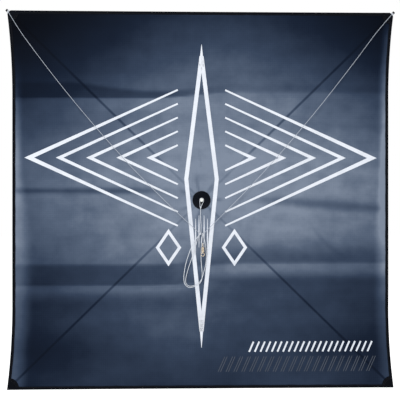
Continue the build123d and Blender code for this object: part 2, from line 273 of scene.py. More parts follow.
def sail_painted_light_and_shade(x, z):
    """The painted light and shade on the cloth at (x, z), as a screen grey from 0 to 1, before weave and
    print.
    """
    left = 1 - ease(x, -0.12, 0.1)
    right = 1 - left
    below = ease(-z, -0.1, 0.1)

    # the pool of light: right of the middle, dark towards the corners
    aside = (x - 0.075) / 0.72
    high = (z - 0.035) / (0.385 + 0.09 * below)
    corner = np.abs(x - 0.04) * np.abs(z - 0.03) / 0.225
    painted_light_and_shade = 0.51 * np.exp(-aside**2 - high**2 - (3.2 - 2.0 * below) * corner**2) - 0.01

    # the upper fold, which climbs to the right: painted shade above it, painted light below it
    upper_fold = z - creases[0] - fold_climb * right
    depth = 16 * MM + 20 * MM * ease(-x, 0.12, 0.32)
    painted_shade_above = ease(-upper_fold, -depth - 6 * MM, 6 * MM - depth)
    painted_shade_above *= ease(upper_fold, -1 * MM, 3 * MM)
    painted_light_and_shade *= 1 - (0.08 + 0.26 * left) * painted_shade_above
    painted_light_below = ease(-upper_fold, 0, 2 * MM) * ease(upper_fold, -60 * MM, -8 * MM)
    painted_light_and_shade *= 1 + (0.12 + 0.08 * left) * painted_light_below

    # the middle fold: a painted shade line on the left, and a softer one that falls away on the right
    painted_light_and_shade *= 1 - 0.36 * hump(z, 22 * MM, 7 * MM) * left * ease(-x, 0.02, 0.2)
    painted_light_and_shade *= 1 - 0.28 * hump(z + 0.075 * x, 12 * MM, 12 * MM) * ease(x, 0.06, 0.2)

    # the lower fold, which also climbs: painted shade on a flat above it on the left, and painted shade in a
    # wide hollow on the right
    lower_fold = z - creases[2] - fold_climb * right
    flat = ease(lower_fold, 0, 3 * MM) * ease(-lower_fold, -54 * MM, -48 * MM)
    painted_light_and_shade *= 1 - 0.33 * flat * left
    painted_light_and_shade *= 1 + 0.14 * hump(lower_fold, -10 * MM, 8 * MM) * left
    painted_light_and_shade *= 1 - 0.22 * hump(lower_fold, -42 * MM, 22 * MM) * left
    hollow = hump(lower_fold, 50 * MM, 34 * MM) * ease(lower_fold, 34 * MM, 42 * MM)
    painted_light_and_shade *= 1 - 0.34 * hollow * right
    fall = ease(-lower_fold, -26 * MM, 6 * MM) * np.exp(np.minimum(lower_fold, 0) / (190 * MM))
    painted_light_and_shade *= 1 - 0.42 * fall * right

    # painted light on the hems inside the side bindings, where the cloth is doubled, wider low down
    inside = edge_x(z) - np.abs(x)
    side = ease(x, -0.1, 0.1)
    hem_width = (26 + ease(-z, -0.12, 0.12) * (26 - 14 * side)) * MM
    hem = ease(-inside, -hem_width, -8 * MM)
    left_painted_light = 0.19 * ease(-z, -0.38, -0.12)
    right_painted_light = 0.09 + 0.18 * hump(z, 0.06, 0.26)
    painted_light_and_shade += hem * (left_painted_light * (1 - side) + right_painted_light * side) * ease(-z, -0.445, -0.39)

    # painted light on the bottom corners, a little paler again
    painted_light_and_shade += 0.08 * ease(-z, 0.34, 0.44) * ease(np.abs(x), 0.04, 0.3)

    # painted shade along each wrinkle, fading towards its ends
    for x1, z1, x2, z2, width, painted_shade in painted_wrinkle_shades:
        run_x = x2 - x1
        run_z = z2 - z1
        share = np.clip(((x - x1) * run_x + (z - z1) * run_z) / (run_x**2 + run_z**2), 0, 1)
        bow = 0.04 * math.hypot(run_x, run_z) * np.sin(math.pi * share)
        away = np.hypot(x - x1 - share * run_x + bow, z - z1 - share * run_z + bow)
        painted_light_and_shade *= 1 - painted_shade * hump(away, 0, width) * np.sin(math.pi * np.clip(share, 0.08, 0.92))

    # painted shade in short pull lines round the hub
    reach = np.hypot(x, z)
    painted_spoke_shade = np.maximum(np.sin(7 * np.arctan2(z, x) + 0.9 + 12 * reach), 0) ** 3
    painted_light_and_shade *= 1 - 0.2 * painted_spoke_shade * hump(reach, 0.036, 0.02)
    return np.clip(painted_light_and_shade, 0, 1)


# ---- materials
weave_pitch = 0.55 * MM
ripstop_pitch = 5.0 * MM  # from one thicker thread to the next


def sail_cloth():
    """Dark ripstop: fine weave, a grid of thicker threads, and a painted shadow line in front of each spar.
    """
    s = Shader("sail_cloth", roughness=0.5, specular=0.03)
    place = s.place()
    x, z = s.x_and_z(place)
    # the painted light and shade from the sail's points, then the cloth's own mottle, streaks and ripstop
    # threads
    painted_light_and_shade = s.node("ShaderNodeAttribute")
    painted_light_and_shade.attribute_name = "painted_light_and_shade"
    level = painted_light_and_shade.outputs["Fac"]
    rib_x = s.math("POWER", s.stripes(x, ripstop_pitch), 24.0)
    rib_z = s.math("POWER", s.stripes(z, ripstop_pitch), 24.0)
    rib = s.math("MAXIMUM", rib_x, rib_z)
    fine = s.math("MULTIPLY", s.stripes(x, weave_pitch), s.stripes(z, weave_pitch))
    mottle = s.noise(place, 26.0, 5.0, 0.6)
    smear = s.node("ShaderNodeMapping", Vector=place)
    smear.inputs["Scale"].default_value = (2.5, 1.0, 9.0)
    streak = s.noise(smear.outputs[0], 3.0, 3.0)
    level = s.math("MULTIPLY", level, s.map(mottle, 0.3, 0.7, 0.93, 1.07))
    level = s.math("MULTIPLY", level, s.map(streak, 0.3, 0.7, 0.94, 1.06))
    level = s.math("MULTIPLY_ADD", rib, 0.02, level)
    across = s.math("SUBTRACT", s.math("MULTIPLY", s.math("ABSOLUTE", x), math.sin(spar_angle)),
                    s.math("MULTIPLY", s.math("ABSOLUTE", z), math.cos(spar_angle)))
    off_spar = s.math("ABSOLUTE", across)
    # the painted shadow of each spar: a dark line over it, stronger away from the middle
    painted_shade = s.map(off_spar, 0.8 * MM, 4.4 * MM, 1.0, 0.0, smooth=True)
    outwards = s.map(s.math("ABSOLUTE", x), 0.05, 0.2, 0.12, 0.36, smooth=True)
    level = s.math("MULTIPLY", level, s.math("SUBTRACT", 1.0, s.math("MULTIPLY", painted_shade, outwards)))
    # the colours grow greyer than the navy as they pale: a painted sheen on the lit cloth
    s.colour(level, [(0.0, (0.0004, 0.0008, 0.0022)), (0.12, (0.0055, 0.0105, 0.0235)),
                     (0.24, (0.028, 0.0435, 0.077)), (0.36, (0.074, 0.1, 0.15)), (0.5, (0.17, 0.206, 0.27))])
    s.rough(mottle, 0.46, 0.58)
    weave = s.math("MULTIPLY_ADD", rib, 0.8, s.math("MULTIPLY", fine, 0.35))
    s.bump(weave, 0.25, 0.06 * MM)
    return s.material


def black_tape():
    """Woven polyester tape, a little dusty on the high threads."""
    s = Shader("black_tape", roughness=0.7, specular=0.04)
    place = s.place()
    x, z = s.x_and_z(place)
    rib = s.math("MULTIPLY", s.stripes(x, 0.9 * MM), s.stripes(z, 0.9 * MM))
    dust = s.noise(place, 60.0, 6.0, 0.65)
    level = s.math("MULTIPLY", s.map(rib, 0, 1, 0.55, 1.0), s.map(dust, 0.3, 0.75, 0.5, 1.3))
    s.colour(level, [(0.0, (0.0003, 0.0005, 0.0011)), (1.0, (0.0036, 0.0047, 0.0078))])
    s.rough(dust, 0.62, 0.82)
    s.bump(rib, 0.5, 0.12 * MM)
    return s.material


def black_plastic():
    """Moulded gloss black with a faint flow texture and handling scuffs."""
    s = Shader("black_plastic", roughness=0.26, specular=0.08)
    place = s.place()
    flow = s.noise(place, 90.0, 4.0)
    scuff = s.noise(place, 700.0, 5.0, 0.7)
    s.colour(scuff, [(0.3, (0.0006, 0.0012, 0.0034)), (0.75, (0.0025, 0.0042, 0.0085))])
    s.rough(scuff, 0.2, 0.38, low=0.35)
    s.bump(flow, 0.15, 0.15 * MM)
    return s.material


def pale_nylon():
    """Slightly waxy off-white nylon."""
    s = Shader("pale_nylon", roughness=0.35, specular=0.5)
    grain = s.noise(s.place(), 500.0, 4.0)
    s.colour(grain, [(0.3, (0.62, 0.63, 0.61)), (0.7, (0.78, 0.79, 0.77))])
    s.rough(grain, 0.28, 0.45)
    s.bump(grain, 0.1, 0.05 * MM)
    s.surface.inputs["Subsurface Weight"].default_value = 0.1
    s.surface.inputs["Subsurface Radius"].default_value = (0.002, 0.002, 0.0018)
    return s.material


def spar_rod(side, up, name):
    """Pultruded glass fibre: near-black resin with fine streaks along the rod."""
    s = Shader(name, roughness=0.32, specular=0.3)
    turn = s.node("ShaderNodeMapping", Vector=s.place())
    turn.inputs["Rotation"].default_value = (0, side * up * spar_angle, 0)
    stretch = s.node("ShaderNodeMapping", Vector=turn.outputs[0])
    stretch.inputs["Scale"].default_value = (6.0, 900.0, 900.0)
    fibre = s.noise(stretch.outputs[0], 1.0, 4.0, 0.6)
    s.colour(fibre, [(0.3, (0.006, 0.0065, 0.008)), (0.7, (0.022, 0.023, 0.026))])
    s.rough(fibre, 0.26, 0.42)
    s.bump(fibre, 0.25, 0.08 * MM)
    return s.material


def cap_vinyl():
    """Soft black vinyl with a matt bloom."""
    s = Shader("cap_vinyl", roughness=0.5, specular=0.15)
    bloom = s.noise(s.place(), 350.0, 5.0, 0.6)
    s.colour(bloom, [(0.3, (0.004, 0.004, 0.005)), (0.7, (0.012, 0.012, 0.013))])
    s.rough(bloom, 0.42, 0.62)
    s.bump(bloom, 0.2, 0.05 * MM)
    return s.material


def braided_line(name, painted_gap_shade, yarn_colour):
    """Braided polyester line: pale yarns with painted shade in the gaps between them, along the tube's UVs.
    """
    s = Shader(name, roughness=0.6, specular=0.35)
    around = s.node("ShaderNodeUVMap")
    around.uv_map = "UVMap"
    parts = s.node("ShaderNodeSeparateXYZ", Vector=around.outputs[0])
    u, v = parts.outputs[0], parts.outputs[1]
    one_way = s.stripes(s.math("ADD", u, v), 0.25)
    other_way = s.stripes(s.math("SUBTRACT", u, v), 0.25)
    yarn = s.math("MAXIMUM", one_way, other_way)
    grime = s.noise(s.place(), 120.0, 4.0)
    level = s.math("MULTIPLY", s.map(yarn, 0.3, 1.0, 0.75, 1.0), s.map(grime, 0.3, 0.7, 0.94, 1.02))
    s.colour(level, [(0.5, painted_gap_shade), (1.0, yarn_colour)])
    s.bump(yarn, 0.4, 0.12 * MM)
    s.surface.inputs["Sheen Weight"].default_value = 0.1
    s.surface.inputs["Sheen Roughness"].default_value = 0.4
    return s.material


def screen_ink(name, low, high):
    """Screen-printed ink: the weave shows through it faintly, with thin spots."""
    s = Shader(name, roughness=0.5, specular=0.35)
    place = s.place()
    x, z = s.x_and_z(place)
    fine = s.math("MULTIPLY", s.stripes(x, weave_pitch), s.stripes(z, weave_pitch))
    thin = s.noise(place, 45.0, 6.0, 0.6)
    s.colour(thin, [(0.3, low), (0.6, high)])
    s.rough(thin, 0.42, 0.56)
    s.bump(fine, 0.2, 0.05 * MM)
    return s.material


def brass(name, low, high, roughness):
    """Brass with a brown bloom in patches and fine turning marks round the swivel's axis."""
    s = Shader(name, roughness=roughness, specular=0.5, metallic=1.0)
    place = s.place()
    patina = s.noise(place, 420.0, 5.0, 0.6)
    rings = s.stripes(s.x_and_z(place)[1], 0.35 * MM)
    s.colour(patina, [(0.3, low), (0.65, high)])
    s.rough(patina, roughness - 0.08, roughness + 0.14)
    s.bump(rings, 0.2, 0.03 * MM)
    return s.material


def thread(name, low, high):
    """Matt sewing thread with a little lint."""
    s = Shader(name, roughness=0.6, specular=0.3)
    lint = s.noise(s.place(), 900.0, 3.0)
    s.colour(lint, [(0.3, low), (0.7, high)])
    s.bump(lint, 0.3, 0.05 * MM)
    return s.material


sail_material = sail_cloth()
tape_material = black_tape()
# the first colour of each line is the painted shade in the gaps between its yarns
leg_material = braided_line("leg_line", (0.17, 0.19, 0.225), (0.42, 0.455, 0.52))
loop_material = braided_line("loop_line", (0.3, 0.325, 0.365), (0.7, 0.735, 0.79))
plastic_material = black_plastic()
nylon_material = pale_nylon()
vinyl_material = cap_vinyl()
ink_material = screen_ink("print_ink", (0.6, 0.635, 0.7), (0.67, 0.705, 0.77))
dim_ink_material = screen_ink("print_ink_dim", (0.03, 0.038, 0.055), (0.05, 0.06, 0.082))
back_ink_material = screen_ink("print_ink_back", (0.16, 0.18, 0.21), (0.24, 0.265, 0.3))
wire_material = brass("brass_wire", (0.52, 0.43, 0.32), (0.84, 0.75, 0.62), 0.22)
barrel_material = brass("brass_barrel", (0.46, 0.37, 0.26), (0.74, 0.63, 0.48), 0.3)
thread_material = thread("black_thread", (0.006, 0.006, 0.008), (0.02, 0.02, 0.024))


def paint(node, material):
    """Give a CAD node its material through its slots."""
    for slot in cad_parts[node].material_slots:
        slot.material = material


for node, material in (("hub_body", plastic_material), ("hub_disc", plastic_material),
                       ("line_post", nylon_material), ("swivel_barrel", barrel_material),
                       ("swivel_upper_eye", wire_material), ("swivel_lower_eye", wire_material)):
    paint(node, material)
corners = {"top_left": (-1, 1), "top_right": (1, 1), "bottom_left": (-1, -1), "bottom_right": (1, -1)}
for corner, (side, up) in corners.items():
    paint(f"spar_{corner}", spar_rod(side, up, f"spar_rod_{corner}"))
    paint(f"spar_cap_{corner}", vinyl_material)


# ---- cords
def cord_line(name, route):
    """A cord's smooth line: a NURBS spline with the route as its control points, (x, depth, z) in mm."""
    curve = bpy.data.curves.new(name + "_line", "CURVE")
    curve.dimensions = "3D"
    curve.resolution_u = 12
    spline = curve.splines.new("NURBS")
    spline.points.add(len(route) - 1)
    for point, (x, depth, z) in zip(spline.points, route):
        point.co = (x * MM, -depth * MM, z * MM, 1)
    spline.order_u = 3
    spline.use_endpoint_u = True
    line = add_object(name + "_line", curve)
    bpy.context.view_layer.update()
    mesh = bpy.data.meshes.new_from_object(line)
    points = np.array([tuple(v.co) for v in mesh.vertices])
    bpy.data.objects.remove(line)
    bpy.data.meshes.remove(mesh)
    bpy.data.curves.remove(curve)
    return points


def even_points(points, step):
    """The same line with points a step apart, and its length."""
    runs = np.linalg.norm(np.diff(points, axis=0), axis=1)
    reach = np.concatenate(([0], np.cumsum(runs)))
    count = max(4, int(round(reach[-1] / step)))
    stations = np.linspace(0, reach[-1], count + 1)
    return np.stack([np.interp(stations, reach, points[:, i]) for i in range(3)], axis=1), reach[-1]


def frames_along(points, closed=False):
    """Two directions square to the line at each point, turning as little as possible."""
    if closed:
        tangents = np.roll(points, -1, axis=0) - np.roll(points, 1, axis=0)
    else:
        tangents = np.gradient(points, axis=0)
    tangents /= np.linalg.norm(tangents, axis=1)[:, None]
    start = np.array((0.0, 1.0, 0.0)) if abs(tangents[0][1]) < 0.9 else np.array((1.0, 0.0, 0.0))
    normal = start - tangents[0] * start.dot(tangents[0])
    normals = []
    for tangent in tangents:
        normal = normal - tangent * normal.dot(tangent)
        normal = normal / np.linalg.norm(normal)
        normals.append(normal)
    normals = np.array(normals)
    return normals, np.cross(tangents, normals)


braid_pitch = 5.4 * MM  # length of one turn of a yarn round the cord
yarns = 4
cord_sides = 16


def braided_tube(name, points, radius, material, closed=False):
    """A round cord with the raised crossings of a braid, along points that are a step apart."""
    normals, others = frames_along(points, closed)
    runs = np.linalg.norm(np.diff(points, axis=0), axis=1)
    reach = np.concatenate(([0], np.cumsum(runs)))
    around = np.arange(cord_sides) / cord_sides * 2 * math.pi
    turn = reach[:, None] / braid_pitch * 2 * math.pi
    one_way = np.cos(yarns * around[None, :] + turn * yarns / 2)
    other_way = np.cos(yarns * around[None, :] - turn * yarns / 2)
    bulge = radius * (0.96 + 0.06 * np.maximum(one_way, other_way))
    outwards = (np.cos(around)[None, :, None] * normals[:, None, :]
                + np.sin(around)[None, :, None] * others[:, None, :])
    rings = points[:, None, :] + bulge[:, :, None] * outwards
    rows = len(points)
    faces = grid_faces(rows, cord_sides, wrap=True)
    if closed:
        last = (rows - 1) * cord_sides
        faces += [(last + i, last + (i + 1) % cord_sides, (i + 1) % cord_sides, i) for i in range(cord_sides)]
    else:
        faces.append(tuple(range(cord_sides))[::-1])
        faces.append(tuple((rows - 1) * cord_sides + i for i in range(cord_sides)))
    piece = add_mesh(name, rings.reshape(-1, 3), faces, material)
    layer = piece.data.uv_layers.new(name="UVMap")
    for face in piece.data.polygons:
        columns = [piece.data.loops[i].vertex_index % cord_sides for i in face.loop_indices]
        wraps = 0 in columns and cord_sides - 1 in columns
        for loop in face.loop_indices:
            row, column = divmod(piece.data.loops[loop].vertex_index, cord_sides)
            turned = column + cord_sides if wraps and column == 0 else column
            layer.data[loop].uv = (turned / cord_sides, reach[row] / braid_pitch / 2)
    return piece


noose_reach = math.hypot(457, 445.5) - 3.3  # along a spar's line in mm, just short of the sail's corner
noose_x = noose_reach * math.cos(spar_angle)
noose_z = noose_reach * math.sin(spar_angle)
left_knot = (-2.8, 15.0, -79.5)
right_knot = (2.9, 15.0, -80.5)
centre_knot = (-2.3, 15.8, -17.3)

routes = {
    "bridle_leg_left": [
        (-noose_x, 11.75, noose_z), (-431, 15, 403), (-398, 16, 358), (-366.5, 16, 316), (-333, 16, 273),
        (-300, 16, 232), (-266.5, 16, 192), (-234.7, 16, 155), (-200.6, 16, 117), (-167.3, 16, 80),
        (-134, 16, 46), (-99.2, 16, 11), (-63.5, 16, -24), (-30.6, 16, -54), left_knot],
    "bridle_leg_right": [
        (noose_x, 11.75, noose_z), (418.5, 15, 403), (388.5, 16, 362), (355.5, 16, 318), (326, 16, 280),
        (293, 16, 238), (261.6, 16, 199), (226.8, 16, 158), (195.5, 16, 121), (161, 16, 82), (128, 16, 46),
        (95.6, 16, 12), (60, 16, -24), (28, 16, -56), right_knot],
    "bridle_leg_centre": [
        centre_knot, (-2.9, 16.3, -32), (-2, 16.2, -48), (-0.8, 15.8, -64), (-1.8, 15.2, -78)],
    "tow_loop_front": [
        (-2.8, 16, -79.5), (-10, 17.4, -87), (-19, 18, -100), (-25.5, 18, -114),
        (-31, 18, -129), (-36.5, 18, -146), (-40.5, 18, -165), (-42.5, 18, -184),
        (-40.5, 18, -198), (-31, 18, -206.5), (-19, 18, -204.5), (-7, 18, -199),
        (0.5, 18, -189.5), (1.6, 18, -175), (0, 18, -158), (-1.4, 18, -141),
        (-1.5, 18, -123), (0, 17.6, -107), (0.8, 16.2, -93), (2.5, 15, -82.5)],
    "tow_loop_back": [
        (-2.8, 14, -80), (-8.5, 14, -87), (-11.5, 14.2, -100), (-16, 14.4, -115),
        (-21, 14.4, -131), (-27, 14.4, -148), (-33, 14.4, -166), (-37.3, 14.4, -183),
        (-38, 14.4, -196), (-30, 14.4, -203.5), (-18.5, 14.4, -202), (-6.5, 14.4, -196),
        (1.5, 14.4, -185), (5, 14.4, -170), (9.5, 14.4, -154), (11.6, 14.4, -137),
        (10.8, 14.4, -120), (9.2, 14.4, -104), (6.6, 14.6, -91.5), (3.9, 15, -82)],
    "centre_loop": [
        (-3.4, 15.9, -15.8), (-4.2, 15.9, -6), (-4.4, 15.9, 2), (-1.8, 15.9, 4.9), (2, 15.9, 4.9),
        (4.9, 15.9, 2), (4.6, 15.9, -3.6), (0.8, 15.9, -10), (-1.3, 15.9, -15.8)],
    "swivel_hitch": [
        (1.7, 17, -81.5), (-0.8, 21.5, -92), (-0.8, 24, -103), (5.8, 24, -103),
        (5.8, 21.5, -92), (4.2, 17, -81.5)],
}
cord_step = 0.9 * MM
knot_depth = 1.9 * MM  # from a noose knot's front to its middle


def make_cord(name, radius, material):
    """One free cord: its braided tube, in place of its CAD node."""
    path, length = even_points(cord_line(name, routes[name]), cord_step)
    piece = braided_tube(name + "_braid", path, radius, material)
    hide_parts(name)


def make_knot(name, centre, node, radius):
    """A pulled-tight overhand knot: a trefoil of cord, longer than it is wide."""
    turns = np.linspace(0, 2 * math.pi, 90, endpoint=False)
    spread = radius * (1.4 + 0.7 * np.cos(3 * turns))
    x = spread * np.cos(2 * turns)
    z = 1.6 * spread * np.sin(2 * turns)
    y = 1.1 * radius * np.sin(3 * turns)
    points = np.stack((x, y, z), axis=1) + np.array((centre[0], -centre[1], centre[2])) * MM
    piece = braided_tube(name, points, 0.9 * radius, loop_material, closed=True)
    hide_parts(node)
    return piece


def make_noose(name, side):
    """Nearly three turns of cord round the spar, and the slip knot in front of them."""
    outwards = np.array((side * math.cos(spar_angle), 0, math.sin(spar_angle)))
    forwards = np.array((0, -1.0, 0))
    across = np.cross(outwards, forwards)
    centre = outwards * noose_reach * MM + np.array((0, spar_y, 0))
    turns = np.linspace(-0.35, 2.35, 110)
    angles = turns * 2 * math.pi
    slide = (turns - 1) * 1.9 * leg_radius
    ends_lift = 1.4 * MM * ease(np.abs(turns - 1), 1.0, 1.35)
    radius = (3.15 * MM + ends_lift)[:, None]
    points = (centre + np.cos(angles)[:, None] * radius * forwards
              + np.sin(angles)[:, None] * radius * across + slide[:, None] * outwards)
    wraps = braided_tube(name + "_wraps", points, leg_radius, loop_material)
    knot_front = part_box(name)[0].y
    knot_centre = (side * noose_x, -(knot_front + knot_depth) / MM, noose_z)
    knot = make_knot(name + "_knot", knot_centre, name, leg_radius)
    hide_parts(name)
    return [wraps, knot]


noose_left_pieces = make_noose("noose_left", -1)
noose_right_pieces = make_noose("noose_right", 1)
junction_left = make_knot("junction_knot_left", left_knot, "knot_left", loop_radius)
junction_right = make_knot("junction_knot_right", right_knot, "knot_right", loop_radius)
post_knot = make_knot("post_knot", centre_knot, "knot_centre", leg_radius)

make_cord("bridle_leg_left", leg_radius, leg_material)
make_cord("bridle_leg_right", leg_radius, leg_material)
make_cord("bridle_leg_centre", leg_radius, loop_material)
make_cord("tow_loop_front", loop_radius, loop_material)
make_cord("tow_loop_back", loop_radius, loop_material)
make_cord("centre_loop", leg_radius, loop_material)
make_cord("swivel_hitch", loop_radius, loop_material)


# ---- the sail's mesh
fold_half = 1.2 * MM
fold_clear = 2.2 * MM


def grid_lines(limit, spacing, sharp):
    """Grid positions from -limit to limit, with close lines at each sharp fold."""
    count = int(round(2 * limit / spacing))
    lines = list(np.linspace(-limit, limit, count + 1))
    for fold in sharp:
        lines = [line for line in lines if abs(line - fold) > fold_clear]
        lines += [fold - fold_half, fold, fold + fold_half]
    return np.array(sorted(lines))


sail_spacing = 4.5 * MM
columns_x = grid_lines(half_width, sail_spacing, (fold_x,))
rows_z = grid_lines(half_height, sail_spacing, creases)
flat_x, flat_z = np.meshgrid(columns_x, rows_z)
sail_x = flat_x * edge_x(flat_z) / half_width
sail_z = flat_z * edge_z(flat_x) / half_height
sail_points = np.stack((sail_x, sail_y - sail_forward(sail_x, sail_z), sail_z), axis=-1).reshape(-1, 3)
corner_cut = 9 * MM
hub_hole = 4 * MM


def kept(point):
    """False in the two cut top corners and in the hub's hole."""
    beyond = (half_width - abs(point[0])) + (half_height - point[2])
    return beyond > corner_cut and math.hypot(point[0], point[2]) > hub_hole


sail_faces = [face for face in grid_faces(len(rows_z), len(columns_x))
              if all(kept(sail_points[i]) for i in face)]
sail = add_mesh("sail_cloth", sail_points, sail_faces, sail_material)
# the painted light and shade, kept on the sail's points for its material
painted_light_and_shade = sail.data.attributes.new("painted_light_and_shade", "FLOAT", "POINT")
painted_light_and_shade.data.foreach_set("value", sail_painted_light_and_shade(sail_x, sail_z).reshape(-1)[:len(sail.data.vertices)])
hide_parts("sail")
sail_tree = BVHTree.FromPolygons([tuple(p) for p in sail_points], sail_faces)


def on_sail(x, z, lift):
    """The point in front of the cloth at (x, z), a lift away from it; a negative lift is behind it."""
    hit = sail_tree.ray_cast(Vector((x, -1, z)), Vector((0, 1, 0)))[0]
    y = hit.y if hit else sail_y
    return (x, y - lift, z)


# ---- the print
print_lift = 0.18 * MM
print_step = 3 * MM
across_band = (-0.5, -0.25, 0, 0.25, 0.5)


def band_rows(line, widths):
    """Rows of points across a flat band along straight runs in (x, z), mitred at its corners."""
    line = np.array(line, float)
    directions = np.diff(line, axis=0)
    directions /= np.linalg.norm(directions, axis=1)[:, None]
    before = np.vstack((directions[:1], directions))
    after = np.vstack((directions, directions[-1:]))
    normals = np.stack((-(before + after)[:, 1], (before + after)[:, 0]), axis=1)
    normals /= np.linalg.norm(normals, axis=1)[:, None]
    straight = np.stack((-before[:, 1], before[:, 0]), axis=1)
    mitre = 1 / np.maximum(0.35, (normals * straight).sum(axis=1))
    sideways = normals * mitre[:, None] * np.array(widths, float)[:, None]
    rows = []
    for i in range(len(line) - 1):
        count = max(1, int(np.linalg.norm(line[i + 1] - line[i]) / print_step))
        is_last_run = i == len(line) - 2
        for k in range(count + is_last_run):
            share = k / count
            middle = line[i] * (1 - share) + line[i + 1] * share
            offset = sideways[i] * (1 - share) + sideways[i + 1] * share
            rows.append([middle + offset * part for part in across_band])
    return rows


def print_piece(name, bands, material, lift):
    """All the bands of one ink, laid on the cloth as one piece."""
    points = []
    faces = []
    for outline, widths in bands:
        rows = band_rows(outline, widths)
        faces += numbered_from(len(points), grid_faces(len(rows), len(across_band)))
        points += [on_sail(x, z, lift) for row in rows for x, z in row]
    piece = add_mesh(name, points, faces, material)
    return piece


def mirrored(bands):
    """The bands, and their mirror images across the sail's upright middle."""
    return bands + [([(-x, z) for x, z in outline], widths) for outline, widths in bands]


line_weight = 9.5 * MM
lozenge = [(0, 0.34), (36 * MM, 0.05), (0, -0.31)]
lozenge_points = ((0.316, 0.368, 12 * MM), (-0.272, -0.349, 14 * MM))  # from z to z, and the first width
point_end = 0.6 * MM
white_bands = mirrored([(lozenge, [line_weight] * 3)])
for start, end, width in lozenge_points:
    white_bands.append(([(0, start), (0, end)], [width, point_end]))

star_height = 0.1  # height of the side chevrons' tips
chevron_slope = 0.46
chevron_inner = 0.056
chevron_ends = 4 * MM
inner_weight = 7.5 * MM
for tip, weight in zip((0.405, 0.334, 0.263, 0.192, 0.121), [line_weight] + [inner_weight] * 4):
    rise = chevron_slope * (tip - chevron_inner)
    chevron = [(chevron_inner, star_height + rise), (tip, star_height), (chevron_inner, star_height - rise)]
    white_bands += mirrored([(chevron, [chevron_ends, weight, chevron_ends])])

diamond_x = 0.078
diamond_z = -0.112
diamond_wide = 0.026
diamond_tall = 0.038
diamond_weight = 7 * MM
diamond_start = (diamond_x + diamond_wide / 2, diamond_z + diamond_tall / 2)  # halfway down a side
diamond = [diamond_start, (diamond_x + diamond_wide, diamond_z), (diamond_x, diamond_z - diamond_tall),
           (diamond_x - diamond_wide, diamond_z), (diamond_x, diamond_z + diamond_tall), diamond_start]
white_bands += mirrored([(diamond, [diamond_weight] * len(diamond))])

stroke_weight = 3 * MM
stroke_end = 0.8 * MM
for x, low, high in ((6 * MM, -0.112, -0.036), (14 * MM, -0.13, -0.044)):  # strokes inside the lozenge
    stroke = [(x, high), (x, (low + high) / 2), (x, low)]
    white_bands += mirrored([(stroke, [stroke_end, stroke_weight, stroke_end])])


def dashes(first_x, last_x, count, middle_z, height, width):
    """A row of evenly spaced slanted dashes."""
    lean = 0.22 * height
    row = []
    for i in range(count):
        x = first_x + (last_x - first_x) * i / (count - 1)
        row.append(([(x - lean, middle_z - height / 2), (x + lean, middle_z + height / 2)], [width, width]))
    return row


white_bands += dashes(first_x=0.118, last_x=0.4, count=22, middle_z=-0.347, height=24 * MM, width=4 * MM)
dim_bands = []
for shift in (-2.8 * MM, 2.8 * MM):  # each dim dash is a pair of thin strokes
    dim_bands += dashes(first_x=0.05 + shift, last_x=0.403 + shift, count=20, middle_z=-0.388,
                        height=36 * MM, width=1.6 * MM)
print_pieces = [print_piece("print_white", white_bands, ink_material, print_lift),
                print_piece("print_dim", dim_bands, dim_ink_material, print_lift),
                print_piece("print_reverse", white_bands, back_ink_material, -print_lift)]

# ---- bindings, patches, sleeves and pockets
cloth = 0.3 * MM
patch_cloth = 0.4 * MM
sail_half_thickness = 0.15 * MM
tape_half = sail_half_thickness + cloth
stitch_pitch = 4.2 * MM
corner_cuts = {1: corner_cut, -1: 1 * MM}  # how much of the cloth's top and bottom corners is cut off
tape_seam = 5.6 * MM  # from the sail's edge
tape_step = 1.05 * MM
front_patch_radius = 28 * MM
front_patch_seams = (26 * MM, 22.5 * MM)  # from the sail's corner
back_patch_radius = 36 * MM
back_patch_seams = (34 * MM, 8 * MM)
corner_reach = math.hypot(half_width, half_height)


def pucker(along, inset, seam, depth=0.09 * MM):
    """How far stitches pull the cloth in: most on the seam, and at the needle holes."""
    return depth * hump(inset, seam, 1.1 * MM) * (0.6 + 0.4 * np.cos(2 * math.pi * along / stitch_pitch))


def sewn_piece(name, points, faces, node):
    """A piece of black cloth that stands for a CAD node."""
    piece = add_mesh(name, points, faces, tape_material)
    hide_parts(node)
    return piece


def tape_profile():
    """The folded tape's section: inset from the sail's edge, distance forward, and 1 on its outside."""
    fold = [(0.15 * MM - tape_half * math.cos(a), tape_half * math.sin(a)) for a in np.linspace(1.4, -1.4, 9)]
    front = [(inset * MM, tape_half) for inset in (7.0, 6.6, 6.1, 5.6, 5.1, 4.4, 3.4, 2.4, 1.4, 0.7)]
    back = [(inset, -forward) for inset, forward in reversed(front)]
    hem = [(binding_width, -sail_half_thickness), (0.2 * MM, -0.05 * MM), (0.2 * MM, 0.05 * MM),
           (binding_width, sail_half_thickness)]
    outside = front + fold + back
    return [(*point, 1.0) for point in outside] + [(*point, 0.0) for point in hem]


